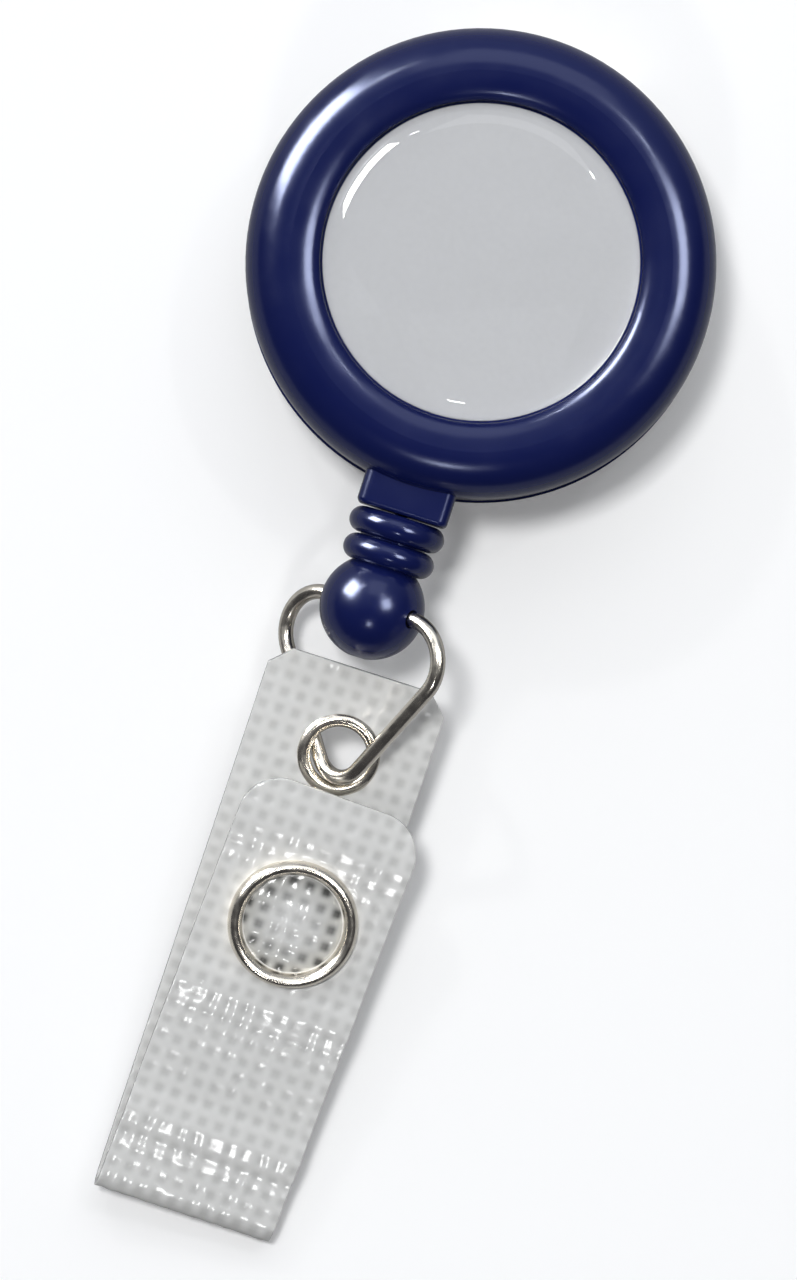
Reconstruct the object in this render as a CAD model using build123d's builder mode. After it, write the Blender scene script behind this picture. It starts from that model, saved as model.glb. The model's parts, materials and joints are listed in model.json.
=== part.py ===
"""Retractable badge reel: reel case with belt clip, cord stopper, wire ring and badge strap.

Row frame: the origin is on the spool axis at the flat outer face of the belt clip,
+Z points out of the label and the cord leaves along -Y. Millimetres.
"""

import math
import os

from build123d import *

# ---------------------------------------------------------------- driving dimensions
# belt clip
clip_t = 0.6
clip_width = 12.0
belt_gap = 2.2
clip_plate_low_y = -9.0
clip_bend_inset = 2.2
clip_tip_inset = 1.8
clip_plate_corner = 2.0
clip_tip_corner = 3.0
clip_crease_depth = 1.0
clip_crease_run = 3.6
clip_joint_gap = 0.1
rivet_r = 0.8
rivet_head_r = 2.3
rivet_head_h = 0.8

# case
case_r = 16.0
case_foot_inset = 0.05
case_wall = 1.3
cover_step = 0.5
cover_t = 1.2
cover_round = 0.2
cover_lip = 0.15
cord_above_back = 4.875
rim_crest_inset = 3.1
rim_above_back = 9.5
widest_above_back = 6.4
recess_lip_drop = 0.75
label_above_back = 7.9
front_web_t = 1.1
cover_fit = 0.1
neck_width = 6.4
neck_height = 5.2
neck_reach = 1.9
neck_root_inset = 0.2
neck_round = 0.7
outlet_room = 0.3
outlet_mouth_inset = 0.5
outlet_mouth_taper = 25

# label and its dome
rim_band = 5.25
dome_groove = 0.15
label_inset = 0.15
label_t = 0.15
dome_crown_h = 0.75
dome_shoulder_r = 1.7

# axle, spool and spring
axle_r = 1.8
axle_seat_depth = 0.8
axle_top_seat = 0.5
axle_slot = 0.4
spool_fit = 0.1
flange_gap = 0.5
flange_t = 0.45
groove_w = 2.4
drum_r = 8.8
drum_wall = 0.9
chamber_roof_t = 0.45
spool_hub_r = 3.2
spool_hub_h = 0.7
spring_cover_t = 0.4
spring_cover_gap = 0.15
spring_t = 0.15
spring_turns = 8
spring_gap = 0.3

# cord
cord_r = 0.45
coil_below_flange = 1.2
coil_fit = 0.03
cord_turn_inset = 0.35
cord_bend_r = 0.9
cord_split_inset = 1.3
cord_split_gap = 0.05
knot_r = 1.15
knot_collar = 0.135
knot_to_ring = 0.165

# stopper
stopper_gap = 0.1
rib_tube_r = 0.9
rib_pitch = 1.87
rib_1_r = 3.35
rib_2_r = 3.2
stopper_core_r = 2.3
ball_r = 3.6
stopper_bore_room = 0.15
knot_room = 0.2
pocket_from_rib_2 = 0.6
knot_seat = 0.25
cross_hole_room = 0.125
cross_hole_turn = 37.24

# wire ring
ring_wire_r = 0.525
ring_past_ball = 3.19
ring_leg_angle = 34.71
ring_shoulder_r = 2.857
ring_tip_r = 2.049
ring_end_gap = 0.6
ring_side_shift = -0.29
ring_pitch = 10.87

# strap
strap_t = 0.5
strap_width = 12.7
strap_above_eyelet = 6.05
strap_below_eyelet = 32.65
strap_corner = 1.4
strap_side_shift = -0.24
strap_turn = -1.1
strap_pitch = 8.49
strap_roll = 6.03
eyelet_from_tip = (-0.538, 1.401, -0.486)
layer_gap = 1.4
fold_skew = 1.07
flap_to_eyelet = 2.45
flap_corner = 2.1
flap_fold_gap = 0.06

# eyelet
eyelet_room = 1.425
eyelet_roll_r = 0.5
eyelet_barrel_wall = 0.25
eyelet_fit = 0.05

# snap fastener
snap_from_fold = 20.85
snap_outer_r = 4.5
snap_inner_r = 3.475
snap_crest_inset = 0.45
snap_ring_h = 0.85
prong_count = 5
prong_inset = 0.125
prong_width = 0.8
prong_t = 0.3
prong_bite = 0.2
prong_fit = 0.05
snap_disc_inset = 0.2
stud_base_t = 0.35
stud_head_r = 2.0
stud_neck_inset = 0.25
stud_head_t = 0.45
stud_top_gap = 0.1
socket_gap = 0.1
socket_bore_room = 0.15
spring_wire_r = 0.15
spring_ring_room = 0.13
spring_side_room = 0.15
spring_end_room = 0.05

# ---------------------------------------------------------------- levels and places
back_z = 2 * clip_t + belt_gap
seam_z = back_z + cover_step
floor_z = back_z + cover_t
cord_z = back_z + cord_above_back
widest_z = back_z + widest_above_back
rim_z = back_z + rim_above_back
label_z = back_z + label_above_back
ceiling_z = label_z - front_web_t
case_foot_r = case_r - case_foot_inset
rim_crest_r = case_r - rim_crest_inset
dome_r = case_r - rim_band
recess_r = dome_r + dome_groove
cavity_r = case_r - case_wall
neck_y = case_r + neck_reach
neck_root_y = cavity_r + neck_root_inset
outlet_r = cord_r + outlet_room
clip_bend_y = case_r - clip_bend_inset
clip_tip_y = clip_tip_inset - case_r
plate_z = back_z - clip_t
axle_foot_z = floor_z - axle_seat_depth
axle_top_z = ceiling_z + axle_top_seat

flange_r = cavity_r - flange_gap
coil_r = flange_r - coil_below_flange
groove_low_z = cord_z - groove_w / 2
groove_high_z = cord_z + groove_w / 2
spool_top_z = groove_high_z + flange_t
chamber_r = drum_r - drum_wall
chamber_roof_z = groove_high_z - chamber_roof_t
spring_cover_z = floor_z + spring_cover_gap
skirt_z = spring_cover_z + spring_cover_t
spring_low_z = skirt_z + spring_gap
spring_high_z = chamber_roof_z - spool_hub_h - spring_gap

rib_1_at = neck_y + stopper_gap + rib_tube_r
rib_2_at = rib_1_at + rib_pitch
knot_pocket_at = rib_2_at + pocket_from_rib_2
knot_pocket_r = knot_r + knot_room
stopper_bore_r = cord_r + stopper_bore_room
cross_hole_r = ring_wire_r + cross_hole_room
cord_turn_y = cord_turn_inset - cavity_r
cord_split_y = cord_split_inset - neck_y
lead_start = -cord_split_y + cord_split_gap
lead_end = knot_pocket_at + knot_seat
knot_at = lead_end + math.sqrt(knot_r**2 - (cord_r + knot_collar) ** 2)
ball_at = knot_at + knot_r + knot_to_ring + ring_wire_r

ring_half_width = ball_r + ring_past_ball
leg_sin = math.sin(math.radians(ring_leg_angle))
leg_cos = math.cos(math.radians(ring_leg_angle))
leg_top_x = ring_half_width - ring_shoulder_r * (1 - leg_cos)
leg_length = (leg_top_x - ring_tip_r * leg_cos) / leg_sin
ring_tip_y = -ring_shoulder_r * (1 + leg_sin) - leg_length * leg_cos - ring_tip_r * (1 - leg_sin)

eyelet_r = ring_wire_r + eyelet_roll_r + eyelet_room
barrel_r = eyelet_r - eyelet_roll_r + eyelet_barrel_wall
flap_length = strap_below_eyelet - flap_to_eyelet
snap_crest_r = snap_outer_r - snap_crest_inset
snap_disc_r = snap_outer_r - snap_disc_inset
prong_r = snap_inner_r + prong_inset + prong_t / 2
stud_neck_r = stud_head_r - stud_neck_inset
socket_bore_r = stud_head_r + socket_bore_room
spring_ring_r = stud_head_r + spring_wire_r + spring_ring_room

stud_z = strap_t / 2
flap_under_z = strap_t / 2 + layer_gap
fold_r = strap_t + layer_gap / 2


def spun(plane, direction, angle):
    """The plane turned about a line through its own origin."""
    line = Axis((0, 0, 0), direction)
    return Plane(
        origin=plane.origin,
        x_dir=plane.x_dir.rotate(line, angle),
        z_dir=plane.z_dir.rotate(line, angle),
    )


def plane_on(base, x=0.0, y=0.0, z=0.0, turn=0.0):
    """A plane on another one: shifted along its axes, then turned about its normal."""
    place = base.from_local_coords(Vector(x, y, z))
    return spun(Plane(origin=place, x_dir=base.x_dir, z_dir=base.z_dir), base.z_dir, turn)


# distances out along the cord are this plane's local x
cord_plane = Plane(origin=(0, 0, cord_z), x_dir=(0, -1, 0), z_dir=(1, 0, 0))
cord_axis = Axis((0, 0, cord_z), (0, -1, 0))
ball_centre = Vector(0, -ball_at, cord_z)

# the ring's plane holds the ball's cross hole as its local x
hole_plane = spun(Plane(origin=ball_centre), (0, 1, 0), -cross_hole_turn)
ring_plane = plane_on(spun(hole_plane, hole_plane.x_dir, ring_pitch), x=ring_side_shift)

# the back layer's middle plane, centred on the eyelet, with the ball up its local y
eyelet_at = ring_plane.from_local_coords(Vector(0, ring_tip_y, 0) + Vector(*eyelet_from_tip))
strap_plane = spun(Plane(origin=eyelet_at), (0, 0, 1), strap_turn)
strap_plane = spun(strap_plane, strap_plane.x_dir, strap_pitch)
strap_plane = spun(strap_plane, strap_plane.y_dir, strap_roll)
fold_plane = plane_on(
    strap_plane,
    x=strap_side_shift,
    y=-strap_below_eyelet,
    z=(strap_t + layer_gap) / 2,
    turn=-fold_skew,
)
flap_plane = plane_on(fold_plane, turn=-fold_skew)
snap_plane = plane_on(flap_plane, y=snap_from_fold, z=-(strap_t + layer_gap) / 2)


def prong_sketch(z, fit=0.0):
    """The snap prongs' feet at a height over the back layer, or slots that clear them."""
    with BuildSketch(plane_on(snap_plane, z=z)) as feet:
        with PolarLocations(prong_r, prong_count):
            Rectangle(prong_t + 2 * fit, prong_width + 2 * fit)
    return feet.sketch


os.makedirs("parts", exist_ok=True)

# ---------------------------------------------------------------- front shell
# One moulding: skirt, rolled rim, recess for the label, and the cord outlet's neck.
with BuildPart() as front_shell:
    with BuildSketch(Plane.XZ):
        with BuildLine():
            Line((cavity_r, seam_z), (case_foot_r, seam_z))
            Line((case_foot_r, seam_z), (case_r, widest_z))
            EllipticalCenterArc(
                (rim_crest_r, widest_z), case_r - rim_crest_r, rim_z - widest_z, 0, arc_size=90
            )
            EllipticalCenterArc(
                (rim_crest_r, rim_z - recess_lip_drop),
                rim_crest_r - recess_r,
                recess_lip_drop,
                90,
                arc_size=90,
            )
            Polyline(
                (recess_r, rim_z - recess_lip_drop),
                (recess_r, label_z),
                (0, label_z),
                (0, ceiling_z),
                (cavity_r, ceiling_z),
                (cavity_r, seam_z),
            )
        make_face()
    revolve(axis=Axis.Z)
    with BuildSketch(Plane.XZ.offset(neck_root_y)):
        with Locations((0, cord_z)):
            RectangleRounded(neck_width, neck_height, neck_round)
    neck = extrude(amount=neck_y - neck_root_y)
    fillet(neck.faces().sort_by(Axis.Y)[0].edges(), neck_round / 2)
    with BuildSketch(Plane.XZ.offset(neck_y)):
        with Locations((0, cord_z)):
            Circle(outlet_r)
    extrude(amount=-(neck_y - cavity_r + case_wall), mode=Mode.SUBTRACT)
    with BuildSketch(Plane.XZ.offset(cavity_r - outlet_mouth_inset)):
        with Locations((0, cord_z)):
            Circle(2 * outlet_r)
    extrude(amount=2 * outlet_r, taper=outlet_mouth_taper, mode=Mode.SUBTRACT)
    with BuildSketch(Plane.XY.offset(ceiling_z)):
        Circle(axle_r + cover_fit)
    extrude(amount=axle_top_seat + cover_fit, mode=Mode.SUBTRACT)
front_shell.part.label = "front_shell"
export_step(front_shell.part, "parts/front_shell.step")

# ---------------------------------------------------------------- label and dome
with BuildPart() as label_disc:
    with BuildSketch(Plane.XY.offset(label_z)):
        Circle(dome_r - label_inset)
    extrude(amount=label_t)
label_disc.part.label = "label_disc"
export_step(label_disc.part, "parts/label_disc.step")

dome_foot_z = label_z + label_t
dome_shoulder_z = dome_foot_z + dome_shoulder_r
dome_curve_r = (dome_r**2 + dome_crown_h**2) / (2 * dome_crown_h)
with BuildPart() as label_dome:
    with BuildSketch(Plane.XZ) as dome_section:
        with BuildLine():
            Polyline((0, dome_foot_z), (dome_r, dome_foot_z), (dome_r, dome_shoulder_z))
            RadiusArc((dome_r, dome_shoulder_z), (0, dome_shoulder_z + dome_crown_h), -dome_curve_r)
            Line((0, dome_shoulder_z + dome_crown_h), (0, dome_foot_z))
        make_face()
        shoulder = dome_section.vertices().group_by(Axis.X)[-1].sort_by(Axis.Y)[-1]
        fillet(shoulder, dome_shoulder_r)
    revolve(axis=Axis.Z)
label_dome.part.label = "label_dome"
export_step(label_dome.part, "parts/label_dome.step")

# ---------------------------------------------------------------- back cover
with BuildPart() as back_cover:
    with BuildSketch(Plane.XY.offset(back_z)):
        Circle(case_foot_r + cover_lip)
    extrude(amount=cover_step)
    with BuildSketch(Plane.XY.offset(seam_z)):
        Circle(cavity_r - cover_fit)
    extrude(amount=floor_z - seam_z)
    with BuildSketch(Plane.XY.offset(axle_foot_z)):
        Circle(axle_r)
    extrude(amount=floor_z - axle_foot_z, mode=Mode.SUBTRACT)
    with BuildSketch(Plane.XY.offset(back_z)):
        Circle(rivet_r + cover_fit)
    extrude(amount=axle_foot_z - back_z, mode=Mode.SUBTRACT)
    foot_edges = back_cover.edges().filter_by(GeomType.CIRCLE).group_by(Axis.Z)[0]
    fillet(foot_edges.sort_by(SortBy.RADIUS)[-1], cover_round)
back_cover.part.label = "back_cover"
export_step(back_cover.part, "parts/back_cover.step")

# ---------------------------------------------------------------- axle
# A tube over the rivet, slotted on one side for the spring's inner end.
with BuildPart() as axle_tube:
    with BuildSketch(Plane.XY.offset(axle_foot_z)):
        Circle(axle_r)
        Circle(rivet_r, mode=Mode.SUBTRACT)
    extrude(amount=axle_top_z - axle_foot_z)
    with BuildSketch(Plane.XY.offset(spring_low_z)):
        with Locations((axle_r / 2 + rivet_r / 2, 0)):
            Rectangle(axle_r, axle_slot)
    extrude(amount=axle_top_z - spring_low_z, mode=Mode.SUBTRACT)
axle_tube.part.label = "axle_tube"
export_step(axle_tube.part, "parts/axle_tube.step")

# ---------------------------------------------------------------- belt clip
# One bent strip: plate under the back cover, bend at the top, springy tongue with
# a crease that grips the belt. The tongue flexes, so it is cut off at the bend.
bend_r = plate_z / 2
with BuildPart() as clip_plate:
    with BuildSketch(Plane.YZ):
        with BuildLine():
            Line((clip_plate_low_y, plate_z + clip_t / 2), (clip_bend_y, plate_z + clip_t / 2))
            CenterArc((clip_bend_y, clip_t / 2 + bend_r), bend_r, 90, -180)
        trace(line_width=clip_t)
    extrude(amount=clip_width / 2, both=True)
    with BuildSketch(Plane.XY.offset(plate_z)):
        Circle(rivet_r)
    extrude(amount=clip_t, mode=Mode.SUBTRACT)
    plate_end = clip_plate.edges().filter_by(Axis.Z).group_by(Axis.Y)[0]
    fillet(plate_end, clip_plate_corner)
clip_plate.part.label = "clip_plate"
export_step(clip_plate.part, "parts/clip_plate.step")

tongue_root_y = clip_bend_y - clip_joint_gap
with BuildPart() as clip_tongue:
    with BuildSketch(Plane.YZ):
        with BuildLine():
            Polyline(
                (tongue_root_y, clip_t / 2),
                (clip_tip_y + 2 * clip_crease_run, clip_t / 2),
                (clip_tip_y + clip_crease_run, clip_t / 2 + clip_crease_depth),
                (clip_tip_y, clip_t / 2),
            )
        trace(line_width=clip_t)
    extrude(amount=clip_width / 2, both=True)
    with BuildSketch(Plane.XY):
        with Locations((0, (tongue_root_y + clip_tip_y) / 2)):
            RectangleRounded(clip_width, tongue_root_y - clip_tip_y, clip_tip_corner)
        with Locations((0, tongue_root_y - clip_tip_corner)):
            Rectangle(clip_width, 2 * clip_tip_corner)
    extrude(amount=back_z, mode=Mode.INTERSECT)
clip_tongue.part.label = "clip_tongue"
export_step(clip_tongue.part, "parts/clip_tongue.step")

with BuildPart() as clip_rivet:
    with BuildSketch(Plane.XZ):
        with BuildLine():
            Line((0, plate_z - rivet_head_h), (0, cord_z))
            Polyline((0, cord_z), (rivet_r, cord_z), (rivet_r, plate_z), (rivet_head_r, plate_z))
            EllipticalCenterArc((0, plate_z), rivet_head_r, rivet_head_h, 270, arc_size=90)
        make_face()
    revolve(axis=Axis.Z)
clip_rivet.part.label = "clip_rivet"
export_step(clip_rivet.part, "parts/clip_rivet.step")

# ---------------------------------------------------------------- spool and spring
with BuildPart() as spool:
    with BuildSketch(Plane.XZ):
        with BuildLine():
            Polyline(
                (axle_r + spool_fit, chamber_roof_z - spool_hub_h),
                (spool_hub_r, chamber_roof_z - spool_hub_h),
                (spool_hub_r, chamber_roof_z),
                (chamber_r, chamber_roof_z),
                (chamber_r, skirt_z),
                (drum_r, skirt_z),
                (drum_r, groove_low_z - flange_t),
                (flange_r, groove_low_z - flange_t),
                (flange_r, groove_low_z),
                (drum_r, groove_low_z),
                (drum_r, groove_high_z),
                (flange_r, groove_high_z),
                (flange_r, spool_top_z),
                (axle_r + spool_fit, spool_top_z),
                close=True,
            )
        make_face()
    revolve(axis=Axis.Z)
spool.part.label = "spool"
export_step(spool.part, "parts/spool.step")

with BuildPart() as spring_cover:
    with BuildSketch(Plane.XY.offset(spring_cover_z)):
        Circle(drum_r)
        Circle(axle_r + spool_fit, mode=Mode.SUBTRACT)
    extrude(amount=spring_cover_t)
spring_cover.part.label = "spring_cover"
export_step(spring_cover.part, "parts/spring_cover.step")

spring_in_r = axle_r + spring_t
spring_out_r = chamber_r - spring_gap - spring_t
steps_per_turn = 12


def spring_points(out):
    """Points along the flat spiral, shifted outwards by a share of the strip."""
    points = []
    for step in range(spring_turns * steps_per_turn + 1):
        share = step / (spring_turns * steps_per_turn)
        radius = spring_in_r + (spring_out_r - spring_in_r) * share + out
        angle = 2 * math.pi * step / steps_per_turn
        points.append((radius * math.cos(angle), radius * math.sin(angle)))
    return points


with BuildPart() as power_spring:
    with BuildSketch(Plane.XY.offset(spring_low_z)):
        with BuildLine():
            inner = Spline(*spring_points(0))
            outer = Spline(*spring_points(spring_t))
            Line(inner @ 0, outer @ 0)
            Line(inner @ 1, outer @ 1)
        make_face()
    extrude(amount=spring_high_z - spring_low_z)
power_spring.part.label = "power_spring"
export_step(power_spring.part, "parts/power_spring.step")

# ---------------------------------------------------------------- cord
with BuildPart() as cord_coil:
    with BuildSketch(Plane.XZ):
        with Locations(((drum_r + coil_fit + coil_r) / 2, cord_z)):
            RectangleRounded(coil_r - drum_r - coil_fit, groove_w - 2 * coil_fit, cord_r)
    revolve(axis=Axis.Z)
cord_coil.part.label = "cord_coil"
export_step(cord_coil.part, "parts/cord_coil.step")

# from where it leaves the winding, tangent to it, to the outlet
run_r = coil_r + cord_r + spool_fit
run_angle = math.acos(run_r / -cord_turn_y)
run_start = (run_r * math.sin(run_angle), -run_r * math.cos(run_angle))
with BuildPart() as cord_run:
    with BuildLine(Plane.XY.offset(cord_z)) as run_path:
        FilletPolyline(run_start, (0, cord_turn_y), (0, cord_split_y), radius=cord_bend_r)
    with BuildSketch(Plane(origin=run_path.wire() @ 0, z_dir=run_path.wire() % 0)):
        Circle(cord_r)
    sweep()
cord_run.part.label = "cord_run"
export_step(cord_run.part, "parts/cord_run.step")

with BuildPart() as cord_lead:
    with BuildSketch(Plane(origin=(0, -lead_start, cord_z), z_dir=(0, -1, 0))):
        Circle(cord_r)
    extrude(amount=lead_end - lead_start)
cord_lead.part.label = "cord_lead"
export_step(cord_lead.part, "parts/cord_lead.step")

with BuildPart() as cord_knot:
    with BuildSketch(cord_plane):
        with Locations((knot_at, 0)):
            Circle(knot_r)
        with Locations((lead_end, -knot_r)):
            Rectangle(3 * knot_r, 3 * knot_r, align=(Align.MIN, Align.MIN), mode=Mode.INTERSECT)
        with Locations((0, 0)):
            Rectangle(2 * ball_at, knot_r, align=(Align.MIN, Align.MIN), mode=Mode.INTERSECT)
    revolve(axis=cord_axis)
cord_knot.part.label = "cord_knot"
export_step(cord_knot.part, "parts/cord_knot.step")

# ---------------------------------------------------------------- stopper
# One turned-looking moulding round the cord: two ribs, a waist and the ball.
with BuildPart() as cord_stopper:
    with BuildSketch(cord_plane):
        with Locations((rib_1_at, rib_1_r - rib_tube_r)):
            Circle(rib_tube_r)
        with Locations((rib_2_at, rib_2_r - rib_tube_r)):
            Circle(rib_tube_r)
        with Locations((ball_at, 0)):
            Circle(ball_r)
        with Locations((rib_1_at - rib_tube_r, 0)):
            Rectangle(
                ball_at - rib_1_at + rib_tube_r, stopper_core_r, align=(Align.MIN, Align.MIN)
            )
        with Locations((rib_1_at - rib_tube_r, stopper_bore_r)):
            Rectangle(ball_at, ball_r, align=(Align.MIN, Align.MIN), mode=Mode.INTERSECT)
    revolve(axis=cord_axis)
    with BuildSketch(Plane(origin=(0, -knot_pocket_at, cord_z), z_dir=(0, -1, 0))):
        Circle(knot_pocket_r)
    extrude(amount=ball_at + cross_hole_r + knot_room - knot_pocket_at, mode=Mode.SUBTRACT)
    with BuildSketch(Plane(origin=ball_centre, z_dir=hole_plane.x_dir)):
        Circle(cross_hole_r)
    extrude(amount=ball_r, both=True, mode=Mode.SUBTRACT)
cord_stopper.part.label = "cord_stopper"
export_step(cord_stopper.part, "parts/cord_stopper.step")

# ---------------------------------------------------------------- wire ring
# A rounded triangle bent from one wire, open inside the ball's cross hole.
with BuildPart() as wire_ring:
    with BuildLine(ring_plane) as ring_path:
        shoulder = Line((ring_end_gap / 2, 0), (ring_half_width - ring_shoulder_r, 0))
        corner = JernArc(shoulder @ 1, shoulder % 1, ring_shoulder_r, -(90 + ring_leg_angle))
        leg = PolarLine(corner @ 1, leg_length, direction=corner % 1)
        tip = JernArc(leg @ 1, leg % 1, ring_tip_r, -(90 - ring_leg_angle))
        mirror(about=Plane(origin=ring_plane.origin, z_dir=ring_plane.x_dir))
    ring_wire = ring_path.wire()
    with BuildSketch(Plane(origin=ring_wire @ 0, z_dir=ring_wire % 0)):
        Circle(ring_wire_r)
    sweep()
wire_ring.part.label = "wire_ring"
export_step(wire_ring.part, "parts/wire_ring.step")

# ---------------------------------------------------------------- strap
with BuildPart() as strap_back:
    with BuildSketch(plane_on(strap_plane, x=strap_side_shift, z=-strap_t / 2)) as back_outline:
        with Locations((0, -strap_below_eyelet)):
            Rectangle(
                strap_width, strap_below_eyelet + strap_above_eyelet, align=(Align.CENTER, Align.MIN)
            )
        chamfer(back_outline.vertices().group_by(Axis.Y)[-1], strap_corner)
    extrude(amount=strap_t)
    with BuildSketch(Plane(origin=fold_plane.origin, z_dir=fold_plane.x_dir)):
        Circle(fold_r)
    extrude(amount=strap_width / 2, both=True)
    with BuildSketch(plane_on(strap_plane, z=-strap_t / 2)):
        Circle(barrel_r + eyelet_fit)
    extrude(amount=strap_t, mode=Mode.SUBTRACT)
    extrude(prong_sketch(-strap_t / 2, prong_fit), amount=strap_t, mode=Mode.SUBTRACT)
strap_back.part.label = "strap_back"
export_step(strap_back.part, "parts/strap_back.step")

with BuildPart() as strap_flap:
    with BuildSketch(plane_on(flap_plane, z=layer_gap / 2)) as flap_outline:
        Rectangle(strap_width, flap_length, align=(Align.CENTER, Align.MIN))
        chamfer(flap_outline.vertices().group_by(Axis.Y)[-1], flap_corner)
    extrude(amount=strap_t)
    with BuildSketch(Plane(origin=fold_plane.origin, z_dir=fold_plane.x_dir)):
        Circle(fold_r + flap_fold_gap)
    extrude(amount=strap_width, both=True, mode=Mode.SUBTRACT)
    extrude(prong_sketch(flap_under_z, prong_fit), amount=strap_t, mode=Mode.SUBTRACT)
strap_flap.part.label = "strap_flap"
export_step(strap_flap.part, "parts/strap_flap.step")

# ---------------------------------------------------------------- eyelet
# A rolled tube end on each side of the strap, joined by its barrel.
with BuildPart() as eyelet:
    with BuildSketch(
        Plane(origin=strap_plane.origin, x_dir=strap_plane.x_dir, z_dir=-strap_plane.y_dir)
    ):
        with Locations((eyelet_r, 0)):
            Circle(eyelet_roll_r)
        with Locations((barrel_r, 0)):
            Rectangle(
                2 * eyelet_roll_r, strap_t, align=(Align.MIN, Align.CENTER), mode=Mode.SUBTRACT
            )
    revolve(axis=Axis(strap_plane.origin, strap_plane.z_dir))
eyelet.part.label = "eyelet"
export_step(eyelet.part, "parts/eyelet.step")

# ---------------------------------------------------------------- snap fastener
# Local heights are counted from the back layer's middle plane. Each prong ring is
# seen outside its layer, and its prongs bite through the layer into the disc inside.
snap_section = Plane(origin=snap_plane.origin, x_dir=snap_plane.x_dir, z_dir=-snap_plane.y_dir)
snap_axis = Axis(snap_plane.origin, snap_plane.z_dir)
stud_base_z = stud_z + stud_base_t
stud_top_z = flap_under_z - stud_top_gap
socket_z = stud_base_z + socket_gap
flap_top_z = flap_under_z + strap_t
spring_z = (socket_z + flap_under_z) / 2


def prong_ring(foot_z, way):
    """Half-round ring with prongs, standing off a layer's face, way +1 up or -1 down."""
    with BuildPart() as ring:
        with BuildSketch(snap_section):
            with BuildLine():
                Line((snap_inner_r, foot_z), (snap_outer_r, foot_z))
                EllipticalCenterArc(
                    (snap_crest_r, foot_z), snap_crest_inset, snap_ring_h, 0, arc_size=90 * way
                )
                EllipticalCenterArc(
                    (snap_crest_r, foot_z),
                    snap_crest_r - snap_inner_r,
                    snap_ring_h,
                    90 * way,
                    arc_size=90 * way,
                )
            make_face()
        revolve(axis=snap_axis)
        extrude(prong_sketch(foot_z), amount=-way * (strap_t + prong_bite))
    return ring.part


snap_front_ring = prong_ring(flap_top_z, 1)
snap_front_ring.label = "snap_front_ring"
export_step(snap_front_ring, "parts/snap_front_ring.step")

snap_back_ring = prong_ring(-strap_t / 2, -1)
snap_back_ring.label = "snap_back_ring"
export_step(snap_back_ring, "parts/snap_back_ring.step")

with BuildPart() as snap_stud:
    with BuildSketch(snap_section):
        with BuildLine():
            Polyline(
                (0, stud_z),
                (snap_disc_r, stud_z),
                (snap_disc_r, stud_base_z),
                (stud_neck_r, stud_base_z),
                (stud_neck_r, spring_z - stud_head_t / 2),
                (stud_head_r, spring_z),
                (stud_neck_r, stud_top_z),
                (0, stud_top_z),
                close=True,
            )
        make_face()
    revolve(axis=snap_axis)
    extrude(prong_sketch(stud_z, prong_fit), amount=prong_bite + prong_fit, mode=Mode.SUBTRACT)
snap_stud.part.label = "snap_stud"
export_step(snap_stud.part, "parts/snap_stud.step")

with BuildPart() as snap_socket:
    with BuildSketch(snap_section):
        with Locations((socket_bore_r, socket_z)):
            Rectangle(
                snap_disc_r - socket_bore_r, flap_under_z - socket_z, align=(Align.MIN, Align.MIN)
            )
        with Locations((spring_ring_r, spring_z)):
            Rectangle(
                2 * (spring_wire_r + spring_side_room),
                2 * (spring_wire_r + spring_end_room),
                mode=Mode.SUBTRACT,
            )
    revolve(axis=snap_axis)
    extrude(
        prong_sketch(flap_under_z, prong_fit), amount=-prong_bite - prong_fit, mode=Mode.SUBTRACT
    )
snap_socket.part.label = "snap_socket"
export_step(snap_socket.part, "parts/snap_socket.step")

with BuildPart() as snap_spring:
    with BuildSketch(snap_section):
        with Locations((spring_ring_r, spring_z)):
            Circle(spring_wire_r)
    revolve(axis=snap_axis)
snap_spring.part.label = "snap_spring"
export_step(snap_spring.part, "parts/snap_spring.step")
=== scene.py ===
"""Looks of a retractable badge reel: case, label, cord, stopper, wire ring and strap."""

import json
import math

import bmesh
import bpy
from mathutils import Matrix, Vector, noise


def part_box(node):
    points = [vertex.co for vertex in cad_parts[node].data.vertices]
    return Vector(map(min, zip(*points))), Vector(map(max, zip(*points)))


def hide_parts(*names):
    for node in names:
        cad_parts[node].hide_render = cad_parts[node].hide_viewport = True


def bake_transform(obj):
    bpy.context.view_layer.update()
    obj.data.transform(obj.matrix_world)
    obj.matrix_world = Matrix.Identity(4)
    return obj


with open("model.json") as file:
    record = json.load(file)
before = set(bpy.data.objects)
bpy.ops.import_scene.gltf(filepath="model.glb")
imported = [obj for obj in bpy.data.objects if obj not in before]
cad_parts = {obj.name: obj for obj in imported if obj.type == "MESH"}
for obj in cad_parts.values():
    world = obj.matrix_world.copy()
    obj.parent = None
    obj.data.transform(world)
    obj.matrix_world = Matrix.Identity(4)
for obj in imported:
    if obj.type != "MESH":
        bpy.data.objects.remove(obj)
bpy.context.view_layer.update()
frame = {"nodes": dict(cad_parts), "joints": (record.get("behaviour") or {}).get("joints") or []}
nodes = frame["nodes"]
joints = {joint["name"]: joint for joint in frame["joints"]}
mm = 0.001

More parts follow.
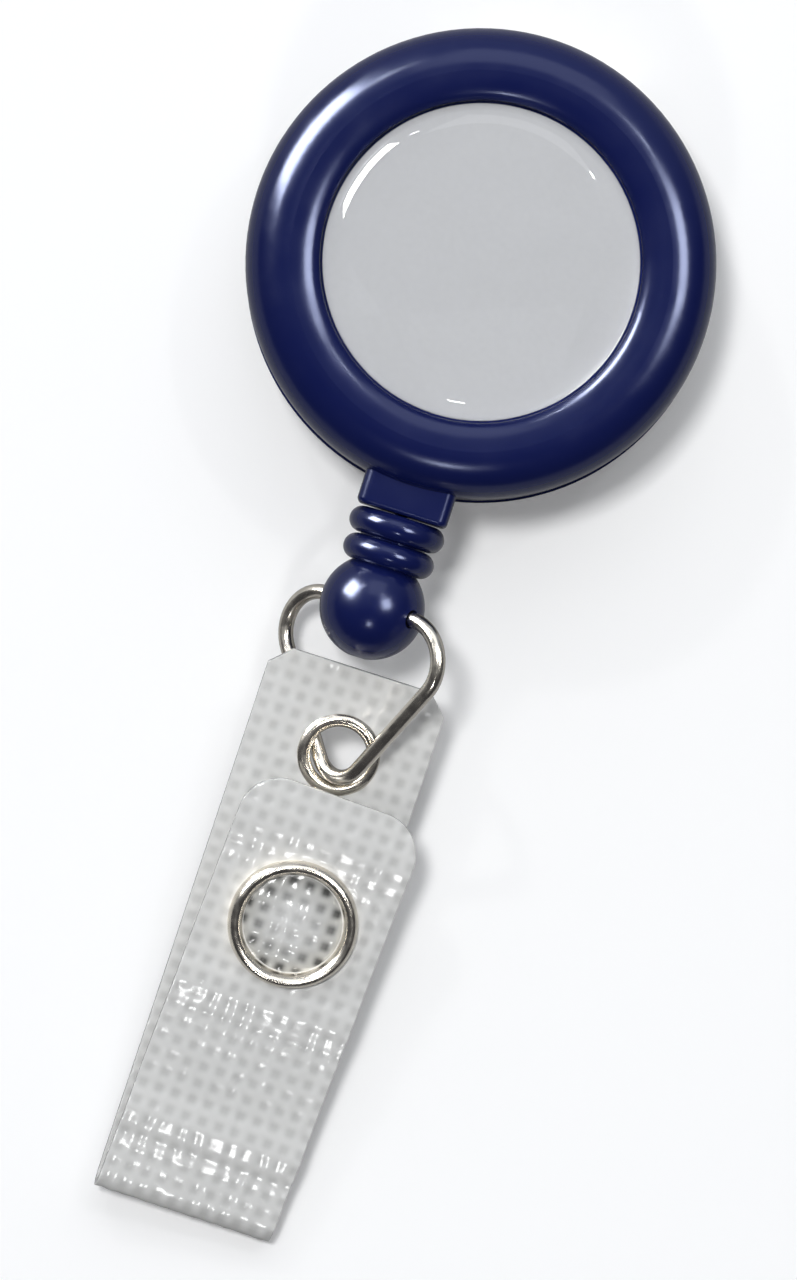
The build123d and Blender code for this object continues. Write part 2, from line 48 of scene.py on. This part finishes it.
# ---------------------------------------------------------------- camera
# The reel lies on its clip and is seen from straight above, turned a little to the right,
# through a long lens. The view is centred between the case and the strap's fold.
view_turn = math.radians(17.6)
view_height = 87.1 * mm
focus_below_rim = 3.9 * mm
camera_distance = 400 * mm
lens_sensor = 24.0
rim_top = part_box("front_shell")[1].z
view_centre = Vector((2.39 * mm, -26.04 * mm, rim_top - focus_below_rim))
camera_data = bpy.data.cameras.new("camera")
camera_data.sensor_fit = "VERTICAL"
camera_data.sensor_height = lens_sensor
camera_data.lens = lens_sensor * camera_distance / view_height
camera = bpy.data.objects.new("camera", camera_data)
camera.location = view_centre + Vector((0, 0, camera_distance))
camera.rotation_euler = (0, 0, view_turn)
bpy.context.scene.collection.objects.link(camera)
bpy.context.scene.camera = camera


# ---------------------------------------------------------------- floor
# A sheet of matt white card. It is seen white, keeps the reel's soft shadow, and throws only
# a little light back on it.
def linear(hex_colour):
    """An sRGB hex colour as a linear red, green, blue and alpha."""
    channels = [int(hex_colour[i : i + 2], 16) / 255 for i in (1, 3, 5)]
    return [c / 12.92 if c <= 0.04045 else ((c + 0.055) / 1.055) ** 2.4 for c in channels] + [1.0]


def add_node(tree, kind, settings=None, links=None):
    """A node with its settings (sockets by name or number, or attributes) and its links."""
    node = tree.nodes.new(kind)
    for key, value in (settings or {}).items():
        if isinstance(key, int) or key in node.inputs:
            node.inputs[key].default_value = value
        else:
            setattr(node, key, value)
    for key, socket in (links or {}).items():
        tree.links.new(socket, node.inputs[key])
    return node


def new_material(name, settings):
    """A material of one Principled shader: its tree and its shader."""
    material = bpy.data.materials.new(name)
    material.use_nodes = True
    tree = material.node_tree
    shader = tree.nodes["Principled BSDF"]
    for key, value in settings.items():
        shader.inputs[key].default_value = value
    return material, tree, shader


floor_half = 1.5
mirrored_share = 0.35
floor_mesh = bpy.data.meshes.new("floor")
bm = bmesh.new()
bmesh.ops.create_grid(bm, x_segments=1, y_segments=1, size=floor_half)
bm.to_mesh(floor_mesh)
bm.free()
floor = bpy.data.objects.new("floor", floor_mesh)
bpy.context.scene.collection.objects.link(floor)
card, tree, shader = new_material(
    "white_card", {"Base Color": linear("#ececec"), "Roughness": 0.9, "Specular IOR Level": 0.0}
)
shader.inputs["Emission Color"].default_value = (1, 1, 1, 1)
shader.inputs["Emission Strength"].default_value = 0.16
thrown = add_node(tree, "ShaderNodeBsdfDiffuse", {"Color": linear("#6e6e6e")})
seen = add_node(tree, "ShaderNodeLightPath")
mirrored = add_node(
    tree,
    "ShaderNodeMath",
    {"operation": "MULTIPLY", 1: mirrored_share},
    {0: seen.outputs["Is Glossy Ray"]},
)
direct = add_node(
    tree,
    "ShaderNodeMath",
    {"operation": "MAXIMUM"},
    {0: seen.outputs["Is Camera Ray"], 1: seen.outputs["Is Transmission Ray"]},
)
share = add_node(
    tree, "ShaderNodeMath", {"operation": "MAXIMUM"}, {0: direct.outputs[0], 1: mirrored.outputs[0]}
)
shown = add_node(
    tree,
    "ShaderNodeMixShader",
    None,
    {"Fac": share.outputs[0], 1: thrown.outputs["BSDF"], 2: shader.outputs["BSDF"]},
)
tree.links.new(shown.outputs[0], tree.nodes["Material Output"].inputs["Surface"])
floor.data.materials.append(card)

# ---------------------------------------------------------------- light
# A dim studio, paler towards the top. A soft key from above gives the level and the shadow
# and isn't mirrored. Panels give the long reflections, and small lamps the glints.
world = bpy.data.worlds.new("studio")
bpy.context.scene.world = world
world.use_nodes = True
tree = world.node_tree
upward = Vector((-math.sin(view_turn), math.cos(view_turn), 0.0))
direction = add_node(tree, "ShaderNodeTexCoord")
towards_top = add_node(
    tree,
    "ShaderNodeVectorMath",
    {"operation": "DOT_PRODUCT", 1: (0.93 * upward + Vector((0, 0, 0.37)))[:]},
    {0: direction.outputs["Generated"]},
)
tent = add_node(tree, "ShaderNodeValToRGB", None, {"Fac": towards_top.outputs["Value"]})
dark_end, pale_end = tent.color_ramp.elements
dark_end.position, dark_end.color = 0.2, (0.05, 0.05, 0.055, 1)
pale_end.position, pale_end.color = 0.95, (0.5, 0.54, 0.6, 1)
tree.links.new(tent.outputs["Color"], tree.nodes["Background"].inputs["Color"])
tree.nodes["Background"].inputs["Strength"].default_value = 1.0


def add_lamp(name, azimuth, elevation, distance, size, power):
    """A square softbox that faces the reel, placed by the way it is seen from there."""
    lamp = bpy.data.lights.new(name, "AREA")
    lamp.shape = "SQUARE"
    lamp.size = size
    lamp.energy = power
    turn, rise = math.radians(azimuth), math.radians(elevation)
    level = math.cos(rise)
    away = Vector((math.cos(turn) * level, math.sin(turn) * level, math.sin(rise)))
    holder = bpy.data.objects.new(name, lamp)
    holder.location = view_centre + distance * away
    holder.rotation_euler = away.to_track_quat("Z", "Y").to_euler()
    bpy.context.scene.collection.objects.link(holder)
    return holder


# azimuths are in the row frame, so those counted from the view gain the camera's turn; the
# lamps without diffuse light are there for their reflections only
image_turn = math.degrees(view_turn)
key = add_lamp("key", 128 + image_turn, 77, 0.9, 0.14, 4.7)
key.visible_glossy = False
key.visible_transmission = False
add_lamp("top_panel", 75 + image_turn, 46, 0.8, 0.50, 0.9)
left_strip = add_lamp("left_strip", 137 + image_turn, 27, 0.5, 0.25, 9.0)
left_strip.visible_diffuse = False
right_panel = add_lamp("right_panel", 12 + image_turn, 58, 0.7, 0.24, 3.4)
right_panel.visible_diffuse = False
overhead = add_lamp("overhead", 110 + image_turn, 80, 0.9, 0.20, 3.2)
overhead.visible_diffuse = False
add_lamp("glint_left", 112 + image_turn, 38, 0.5, 0.020, 0.16)
add_lamp("glint_right", 45 + image_turn, 55, 0.5, 0.016, 0.10)
add_lamp("low_glint", -100 + image_turn, 52, 0.5, 0.045, 0.22)
bpy.context.scene.view_settings.view_transform = "Standard"


# ---------------------------------------------------------------- case and stopper
# Injection moulded ABS, deep navy all through, from a polished mould. It gives soft, slightly
# wavy and bluish reflections, and the faint orange peel of a moulded skin.
def dress(material, *names):
    """Gives CAD nodes a material."""
    for name in names:
        nodes[name].data.materials.clear()
        nodes[name].data.materials.append(material)


def surface_noise(tree, scale_mm, detail=3.0):
    """Noise on the piece's own coordinates, with features of a real size in millimetres."""
    place = add_node(tree, "ShaderNodeTexCoord")
    return add_node(
        tree,
        "ShaderNodeTexNoise",
        {"Scale": 1 / (scale_mm * mm), "Detail": detail},
        {"Vector": place.outputs["Object"]},
    )


def roughness_band(tree, drift, low, high):
    """Roughness that drifts between two values with a noise."""
    return add_node(
        tree,
        "ShaderNodeMapRange",
        {"From Min": 0.3, "From Max": 0.7, "To Min": low, "To Max": high},
        {"Value": drift.outputs["Fac"]},
    )


def add_bump(tree, shader, height, depth_mm):
    """Bump of a real depth in millimetres."""
    bump = add_node(
        tree, "ShaderNodeBump", {"Strength": 1.0, "Distance": depth_mm * mm}, {"Height": height}
    )
    tree.links.new(bump.outputs["Normal"], shader.inputs["Normal"])


navy_abs, tree, shader = new_material(
    "navy_moulded_abs", {"Base Color": linear("#0f1749"), "Roughness": 0.2, "IOR": 1.5}
)
shader.inputs["Specular Tint"].default_value = linear("#d4deff")
skin = surface_noise(tree, 2.5)
tree.links.new(roughness_band(tree, skin, 0.17, 0.25).outputs["Result"], shader.inputs["Roughness"])
add_bump(tree, shader, skin.outputs["Fac"], 0.012)
dress(navy_abs, "front_shell", "back_cover", "cord_stopper")

# ---------------------------------------------------------------- label and dome
# A bare pale grey paper label under a clear cast resin dome, which catches thin lines of
# light just inside its edge. Lamp and diffuse rays pass the dome, so the label stays lit.
label_paper, tree, shader = new_material(
    "label_paper", {"Base Color": linear("#c4c5c7"), "Roughness": 0.55}
)
fibre = surface_noise(tree, 0.35, 6.0)
tint = add_node(
    tree,
    "ShaderNodeMix",
    {"data_type": "RGBA", 6: linear("#c0c1c3"), 7: linear("#c8c9cb")},
    {0: fibre.outputs["Fac"]},
)
tree.links.new(tint.outputs[2], shader.inputs["Base Color"])
dress(label_paper, "label_disc")

clear_dome, tree, shader = new_material(
    "clear_cast_resin",
    {"Base Color": linear("#fdfdfd"), "Roughness": 0.03, "IOR": 1.5, "Transmission Weight": 1.0},
)
rays = add_node(tree, "ShaderNodeLightPath")
lit_through = add_node(
    tree,
    "ShaderNodeMath",
    {"operation": "MAXIMUM"},
    {0: rays.outputs["Is Shadow Ray"], 1: rays.outputs["Is Diffuse Ray"]},
)
open_way = add_node(tree, "ShaderNodeBsdfTransparent")
cast = add_node(
    tree,
    "ShaderNodeMixShader",
    None,
    {"Fac": lit_through.outputs[0], 1: shader.outputs["BSDF"], 2: open_way.outputs["BSDF"]},
)
tree.links.new(cast.outputs[0], tree.nodes["Material Output"].inputs["Surface"])
dress(clear_dome, "label_dome")

# ---------------------------------------------------------------- inside the case
# Natural acetal spool and cover, which are slightly waxy, and plain spring steel.
acetal, tree, shader = new_material(
    "natural_acetal",
    {"Base Color": linear("#e9e7df"), "Roughness": 0.38, "IOR": 1.48, "Subsurface Weight": 0.15},
)
add_bump(tree, shader, surface_noise(tree, 0.8).outputs["Fac"], 0.006)
dress(acetal, "spool", "spring_cover")

spring_steel, tree, shader = new_material(
    "spring_steel", {"Base Color": linear("#a3a29e"), "Metallic": 1.0, "Roughness": 0.3}
)
grain = surface_noise(tree, 0.5)
tree.links.new(roughness_band(tree, grain, 0.24, 0.4).outputs["Result"], shader.inputs["Roughness"])
dress(spring_steel, "axle_tube", "power_spring", "clip_rivet")

# ---------------------------------------------------------------- cord
# Braided black nylon, 0.9 mm across. The stretch from the outlet to the stopper is one
# tube, built where the CAD lead lies; the rest is wound on the spool.
braid_pitch = 0.9
braid, tree, shader = new_material(
    "braided_nylon", {"Base Color": linear("#1a1a22"), "Roughness": 0.55, "Sheen Weight": 0.3}
)
place = add_node(tree, "ShaderNodeTexCoord")
strands = add_node(
    tree,
    "ShaderNodeTexWave",
    {
        "Scale": 1 / (2 * math.pi * braid_pitch * mm),
        "Distortion": 1.5,
        "bands_direction": "DIAGONAL",
    },
    {"Vector": place.outputs["Object"]},
)
shade = add_node(
    tree,
    "ShaderNodeMix",
    {"data_type": "RGBA", 6: linear("#101016"), 7: linear("#2c2c3a")},
    {0: strands.outputs["Fac"]},
)
tree.links.new(shade.outputs[2], shader.inputs["Base Color"])
add_bump(tree, shader, strands.outputs["Fac"], 0.05)
dress(braid, "cord_coil", "cord_run", "cord_knot")


def new_piece(name, bm, material):
    """Turns a bmesh into a smooth shaded piece at the origin."""
    mesh = bpy.data.meshes.new(name)
    bm.to_mesh(mesh)
    bm.free()
    for face in mesh.polygons:
        face.use_smooth = True
    mesh.materials.append(material)
    piece = bpy.data.objects.new(name, mesh)
    bpy.context.scene.collection.objects.link(piece)
    return piece


lead_low, lead_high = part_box("cord_lead")
lead_rings = 60
lead_r = (lead_high.x - lead_low.x) / 2
bm = bmesh.new()
bmesh.ops.create_circle(bm, cap_ends=False, radius=lead_r, segments=16)
bmesh.ops.rotate(bm, verts=bm.verts[:], cent=(0, 0, 0), matrix=Matrix.Rotation(math.pi / 2, 3, "X"))
bmesh.ops.translate(bm, verts=bm.verts[:], vec=(0, lead_high.y, (lead_low.z + lead_high.z) / 2))
bmesh.ops.spin(
    bm,
    geom=bm.edges[:],
    cent=(0, 0, 0),
    axis=(0, 0, 1),
    dvec=(0, -(lead_high.y - lead_low.y) / lead_rings, 0),
    angle=0,
    steps=lead_rings,
    use_duplicate=False,
)
bmesh.ops.holes_fill(bm, edges=[e for e in bm.edges if e.is_boundary])
bmesh.ops.recalc_face_normals(bm, faces=bm.faces[:])
cord = new_piece("cord", bm, braid)
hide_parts("cord_lead")
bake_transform(cord)


# ---------------------------------------------------------------- bent strips
# The belt clip and the strap are both flat strips, cut and thickened first and then bent.
def flat_strip(length, half_width, step):
    """A flat sheet: x across, and y from 0 along its length."""
    bm = bmesh.new()
    across = max(2, round(2 * half_width / step))
    along = max(2, round(length / step))
    bmesh.ops.create_grid(bm, x_segments=across, y_segments=along, size=0.5)
    bmesh.ops.translate(bm, verts=bm.verts[:], vec=(0, 0.5, 0))
    bmesh.ops.scale(bm, verts=bm.verts[:], vec=(2 * half_width, length, 1))
    return bm


def thicken(bm, thickness, round_by):
    """Gives a flat sheet its thickness about z = 0, with its rim edges rounded."""
    bmesh.ops.solidify(bm, geom=bm.faces[:], thickness=thickness)
    middle = sum(v.co.z for v in bm.verts) / len(bm.verts)
    bmesh.ops.translate(bm, verts=bm.verts[:], vec=(0, 0, -middle))
    bmesh.ops.recalc_face_normals(bm, faces=bm.faces[:])
    sharp = math.radians(60)
    rim = [e for e in bm.edges if len(e.link_faces) == 2 and e.calc_face_angle() > sharp]
    rim = [e for e in rim if abs(e.verts[0].co.z - e.verts[1].co.z) < thickness / 2]
    bmesh.ops.bevel(
        bm,
        geom=rim,
        offset=round_by,
        offset_type="OFFSET",
        affect="EDGES",
        segments=2,
        profile=0.5,
        material=-1,
        clamp_overlap=True,
    )


def stretch_step(heading, curve, distance):
    """How far a stretch leads in its own plane: a straight line, or an arc of that curvature."""
    if abs(curve) < 1e-9:
        return distance * Vector((math.cos(heading), math.sin(heading)))
    end = heading + curve * distance
    return Vector((math.sin(end) - math.sin(heading), math.cos(heading) - math.cos(end))) / curve


def bend(bm, origin, across, ahead, out, stretches):
    """Bends a flat strip along straight and turned stretches, given as (length, turn)."""
    starts = []
    place, heading, run = Vector((0, 0)), 0.0, 0.0
    for length, turn in stretches:
        starts.append((run, place.copy(), heading, turn / length))
        place += stretch_step(heading, turn / length, length)
        heading += turn
        run += length
    for vert in bm.verts:
        run, place, heading, curve = [s for s in starts if s[0] <= max(vert.co.y, 0)][-1]
        distance = vert.co.y - run
        spot = place + stretch_step(heading, curve, distance)
        facing = heading + curve * distance
        spot += vert.co.z * Vector((-math.sin(facing), math.cos(facing)))
        vert.co = origin + vert.co.x * across + spot.x * ahead + spot.y * out


# ---------------------------------------------------------------- belt clip
# One strip of spring steel: stamped, bent double over the top and creased near its tip
# so that it grips the belt. It is ground along its length, which leaves fine lines.
ground_steel, tree, shader = new_material(
    "ground_spring_steel", {"Base Color": linear("#b4b3af"), "Metallic": 1.0, "Roughness": 0.28}
)
place = add_node(tree, "ShaderNodeTexCoord")
stretch = add_node(
    tree, "ShaderNodeMapping", {"Scale": (1, 0.03, 1)}, {"Vector": place.outputs["Object"]}
)
lines = add_node(
    tree,
    "ShaderNodeTexNoise",
    {"Scale": 1 / (0.12 * mm), "Detail": 2.0},
    {"Vector": stretch.outputs["Vector"]},
)
tree.links.new(roughness_band(tree, lines, 0.2, 0.42).outputs["Result"], shader.inputs["Roughness"])
add_bump(tree, shader, lines.outputs["Fac"], 0.004)

plate_low, plate_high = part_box("clip_plate")
tongue_low, tongue_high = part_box("clip_tongue")
clip_t = 0.6 * mm
clip_half = (plate_high.x - plate_low.x) / 2
bend_r = (plate_high.z - clip_t) / 2
bend_y = joints["clip_flex"]["pos_m"][1]
crease_run = 3.6 * mm
crease_depth = 1.0 * mm
crease_angle = math.atan2(crease_depth, crease_run)
crease_arc = 0.5 * mm
slope = math.hypot(crease_run, crease_depth) - crease_arc
clip_stretches = [
    (bend_y - plate_low.y, 0),
    (math.pi * bend_r, math.pi),
    (bend_y - tongue_low.y - 2 * crease_run - crease_arc / 2, 0),
    (crease_arc, crease_angle),
    (slope, 0),
    (crease_arc, -2 * crease_angle),
    (slope + crease_arc / 2, 0),
]
clip_length = sum(length for length, turn in clip_stretches)
clip_step = 0.3 * mm


def round_end(bm, half_width, end_y, way, radius):
    """Rounds a flat strip's two corners at one end by drawing them on to a quarter circle."""
    for vert in bm.verts:
        dx = abs(vert.co.x) - (half_width - radius)
        dy = way * (vert.co.y - end_y) + radius
        if dx > 0 and dy > 0:
            shrink = max(dx, dy) / math.hypot(dx, dy)
            vert.co.x = math.copysign(half_width - radius + dx * shrink, vert.co.x)
            vert.co.y = end_y + way * (dy * shrink - radius)


bm = flat_strip(clip_length, clip_half, clip_step)
round_end(bm, clip_half, 0, -1, clip_half / 3)
round_end(bm, clip_half, clip_length, 1, clip_half / 2)
thicken(bm, clip_t, 0.1 * mm)
bend(
    bm,
    Vector((0, plate_low.y, plate_high.z - clip_t / 2)),
    Vector((-1, 0, 0)),
    Vector((0, 1, 0)),
    Vector((0, 0, -1)),
    clip_stretches,
)
bmesh.ops.recalc_face_normals(bm, faces=bm.faces[:])
belt_clip = new_piece("belt_clip", bm, ground_steel)
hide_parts("clip_plate", "clip_tongue")
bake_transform(belt_clip)

# ---------------------------------------------------------------- ring, eyelet and snap
# Steel wire and stamped brass, bright nickel plated, which gives them a slightly warm
# shine with a trace of wear.
nickel, tree, shader = new_material(
    "bright_nickel_plate", {"Base Color": linear("#d3cdc2"), "Metallic": 1.0, "Roughness": 0.2}
)
wear = surface_noise(tree, 0.6, 4.0)
tree.links.new(roughness_band(tree, wear, 0.16, 0.27).outputs["Result"], shader.inputs["Roughness"])
add_bump(tree, shader, wear.outputs["Fac"], 0.004)
dress(
    nickel,
    "wire_ring",
    "eyelet",
    "snap_front_ring",
    "snap_back_ring",
    "snap_socket",
    "snap_stud",
    "snap_spring",
)

# ---------------------------------------------------------------- strap
# Clear vinyl with a white thread mesh laminated inside, cut flat, folded once and held by
# the snap. The mesh presses small pillows into both faces, which sparkle where it bows.
mesh_pitch = 1.2
strap_t = 0.5 * mm
strap_half = 6.35 * mm
layer_gap = 1.4 * mm
fold_r = (layer_gap + strap_t) / 2
fold_skew = math.radians(1.07)
back_length = 38.7 * mm
flap_length = 30.2 * mm
fold_arc = math.pi * fold_r
top_corner = 1.4 * mm
flap_corner = 2.9 * mm
hole_r = 2.3 * mm
pillow_depth = 0.03 * mm
unevenness = 0.05 * mm
uneven_size = 0.7 * mm
uneven_stretch = 0.4
steps_per_pitch = 7

fold = joints["flap_open"]
fold_centre = Vector(fold["pos_m"])
fold_axis = Vector(fold["axis"]).normalized()
eyelet_centre = Vector(joints["strap_swing"]["pos_m"])
strap_normal = Vector(joints["strap_swing"]["axis"]).normalized()
up_strap = strap_normal.cross(fold_axis).normalized()


def flat_of(point):
    """A point of the back layer as x and y on the flat strip."""
    offset = point - fold_centre
    return Vector((offset.dot(fold_axis), back_length - offset.dot(up_strap)))


snap_low, snap_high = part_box("snap_front_ring")
snap_centre = (snap_low + snap_high) / 2
snap_on_flap = (snap_centre - fold_centre).dot(up_strap)
snap_flat = Vector(
    ((snap_centre - fold_centre).dot(fold_axis), back_length + fold_arc + snap_on_flap)
)
eyelet_flat = flat_of(eyelet_centre)
strap_length = back_length + fold_arc + flap_length

bm = flat_strip(strap_length, strap_half, mesh_pitch * mm / steps_per_pitch)

# the back layer's corners are cut off, and the flap's are rounded
for side in (-1, 1):
    bmesh.ops.bisect_plane(
        bm,
        geom=bm.verts[:] + bm.edges[:] + bm.faces[:],
        dist=1e-7,
        plane_co=(side * (strap_half - top_corner), 0, 0),
        plane_no=(side, -1, 0),
        clear_outer=True,
    )
round_end(bm, strap_half, strap_length, 1, flap_corner)

# the fold runs a little askew, so the flat strip is turned about the fold's middle
bmesh.ops.rotate(
    bm,
    verts=bm.verts[:],
    cent=(0, back_length + fold_arc / 2, 0),
    matrix=Matrix.Rotation(-fold_skew, 3, "Z"),
)

# the eyelet's hole, under its rolled rim
near_hole = 1.2 * hole_r
gone = [f for f in bm.faces if (f.calc_center_median().xy - eyelet_flat).length < hole_r]
bmesh.ops.delete(bm, geom=gone, context="FACES")
for vert in bm.verts:
    away = vert.co.xy - eyelet_flat
    if vert.is_boundary and away.length < near_hole:
        vert.co.xy = eyelet_flat + hole_r * away.normalized()
thicken(bm, strap_t, 0.05 * mm)

weave = bm.loops.layers.uv.new("weave")
unturn = Matrix.Rotation(fold_skew, 2)
for face in bm.faces:
    for loop in face.loops:
        loop[weave].uv = unturn @ loop.vert.co.xy / mm


def ridge(distance):
    """Height of a thread line, 1 on the line and 0 between lines."""
    return 0.5 + 0.5 * math.cos(2 * math.pi * distance / (mesh_pitch * mm))


# the snap's rings and flanges press both layers flat; the flap bulges through its open ring
grip_r = 4.7 * mm
stud_flat = flat_of(snap_centre)
bulge_r = 3.4 * mm
bulge_height = 0.4 * mm
# where the strap bows, as a place along it, a spread and a height
bows = [
    (2.0 * mm, 2.4 * mm, 0.16 * mm),
    (back_length + fold_arc + 4.9 * mm, 1.5 * mm, 0.32 * mm),
    (back_length + fold_arc + 15.0 * mm, 1.6 * mm, 0.28 * mm),
    (back_length + fold_arc + 27.0 * mm, 2.2 * mm, 0.3 * mm),
]
for vert in bm.verts:
    outer = math.copysign(1, vert.co.z)
    spot = unturn @ vert.co.xy
    to_snap = (vert.co.xy - snap_flat).length
    relief = pillow_depth * (ridge(spot.x) + ridge(spot.y))
    relief += unevenness * noise.noise(Vector((spot.x, uneven_stretch * spot.y, 0)) / uneven_size)
    if to_snap < bulge_r:
        relief *= 2
        vert.co.z -= bulge_height * (1 - (to_snap / bulge_r) ** 2)
    elif min(to_snap, (vert.co.xy - stud_flat).length) < grip_r:
        relief = 0.0
    vert.co.z += outer * relief
    for centre, spread, height in bows:
        vert.co.z -= height * math.exp(-(((vert.co.y - centre) / spread) ** 2))
bend(
    bm,
    fold_centre - fold_r * strap_normal + back_length * up_strap,
    fold_axis,
    -up_strap,
    strap_normal,
    [(back_length, 0), (fold_arc, math.pi), (flap_length, 0)],
)
bmesh.ops.recalc_face_normals(bm, faces=bm.faces[:])

vinyl, tree, shader = new_material(
    "mesh_reinforced_vinyl",
    {"Base Color": linear("#d6d6d4"), "Roughness": 0.16, "IOR": 1.53, "Transmission Weight": 0.3},
)
flat_place = add_node(tree, "ShaderNodeUVMap", {"uv_map": "weave"})
parts = add_node(tree, "ShaderNodeSeparateXYZ", None, {0: flat_place.outputs["UV"]})
# windows between the threads, and painted shade inside the snap's ring that darkens windows and
# threads towards the ring's edge
openings = []
for axis in ("X", "Y"):
    turns = add_node(
        tree,
        "ShaderNodeMath",
        {"operation": "MULTIPLY", 1: 2 * math.pi / mesh_pitch},
        {0: parts.outputs[axis]},
    )
    wave = add_node(tree, "ShaderNodeMath", {"operation": "COSINE"}, {0: turns.outputs[0]})
    opening = add_node(
        tree,
        "ShaderNodeMapRange",
        {"From Min": 0.95, "From Max": -0.75},
        {"Value": wave.outputs[0]},
    )
    openings.append(opening)
windows = add_node(
    tree,
    "ShaderNodeMath",
    {"operation": "MULTIPLY"},
    {0: openings[0].outputs["Result"], 1: openings[1].outputs["Result"]},
)
snap_place = add_node(
    tree,
    "ShaderNodeVectorMath",
    {"operation": "DISTANCE", 1: (*(unturn @ snap_flat / mm), 0)},
    {0: flat_place.outputs["UV"]},
)
# painted shade: inside the snap's ring, windows and threads are painted darker from 1.2 mm out
# towards the ring's edge
shade_to_ring_edge = add_node(
    tree,
    "ShaderNodeMapRange",
    {"From Min": 1.2, "From Max": 3.2, "To Min": 0.0, "To Max": 1.0},
    {"Value": snap_place.outputs["Value"]},
)
within = add_node(
    tree,
    "ShaderNodeMath",
    {"operation": "LESS_THAN", 1: bulge_r / mm},
    {0: snap_place.outputs["Value"]},
)
painted_ring_shade = add_node(
    tree,
    "ShaderNodeMath",
    {"operation": "MULTIPLY"},
    {0: within.outputs[0], 1: shade_to_ring_edge.outputs["Result"]},
)
# the windows' and threads' own tones, blended into painted shade inside the snap's ring
window_tone = add_node(
    tree,
    "ShaderNodeMix",
    {"data_type": "RGBA", 6: linear("#dededc"), 7: linear("#5c5c5a")},
    {0: painted_ring_shade.outputs[0]},
)
thread_tone = add_node(
    tree,
    "ShaderNodeMix",
    {"data_type": "RGBA", 6: linear("#ececea"), 7: linear("#c8c8c4")},
    {0: painted_ring_shade.outputs[0]},
)
colour = add_node(
    tree,
    "ShaderNodeMix",
    {"data_type": "RGBA"},
    {0: windows.outputs[0], 6: thread_tone.outputs[2], 7: window_tone.outputs[2]},
)
clear = add_node(
    tree,
    "ShaderNodeMapRange",
    {"To Min": 0.24, "To Max": 0.29},
    {"Value": windows.outputs[0]},
)
tree.links.new(colour.outputs[2], shader.inputs["Base Color"])
tree.links.new(clear.outputs["Result"], shader.inputs["Transmission Weight"])
strap = new_piece("strap", bm, vinyl)
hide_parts("strap_back", "strap_flap")
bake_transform(strap)


# ---------------------------------------------------------------- flags
# Two of the lamps are flagged off the label's dome, which would mirror them as patches.
def only_on(lamp, *pieces):
    """Keeps a lamp off everything but some pieces."""
    lit = bpy.data.collections.new(lamp.name)
    for piece in pieces:
        lit.objects.link(piece)
    lamp.light_linking.receiver_collection = lit


wire_and_rings = [nodes[name] for name in ("wire_ring", "eyelet", "snap_front_ring")]
only_on(overhead, strap, *wire_and_rings)
only_on(right_panel, nodes["front_shell"], nodes["cord_stopper"], *wire_and_rings)
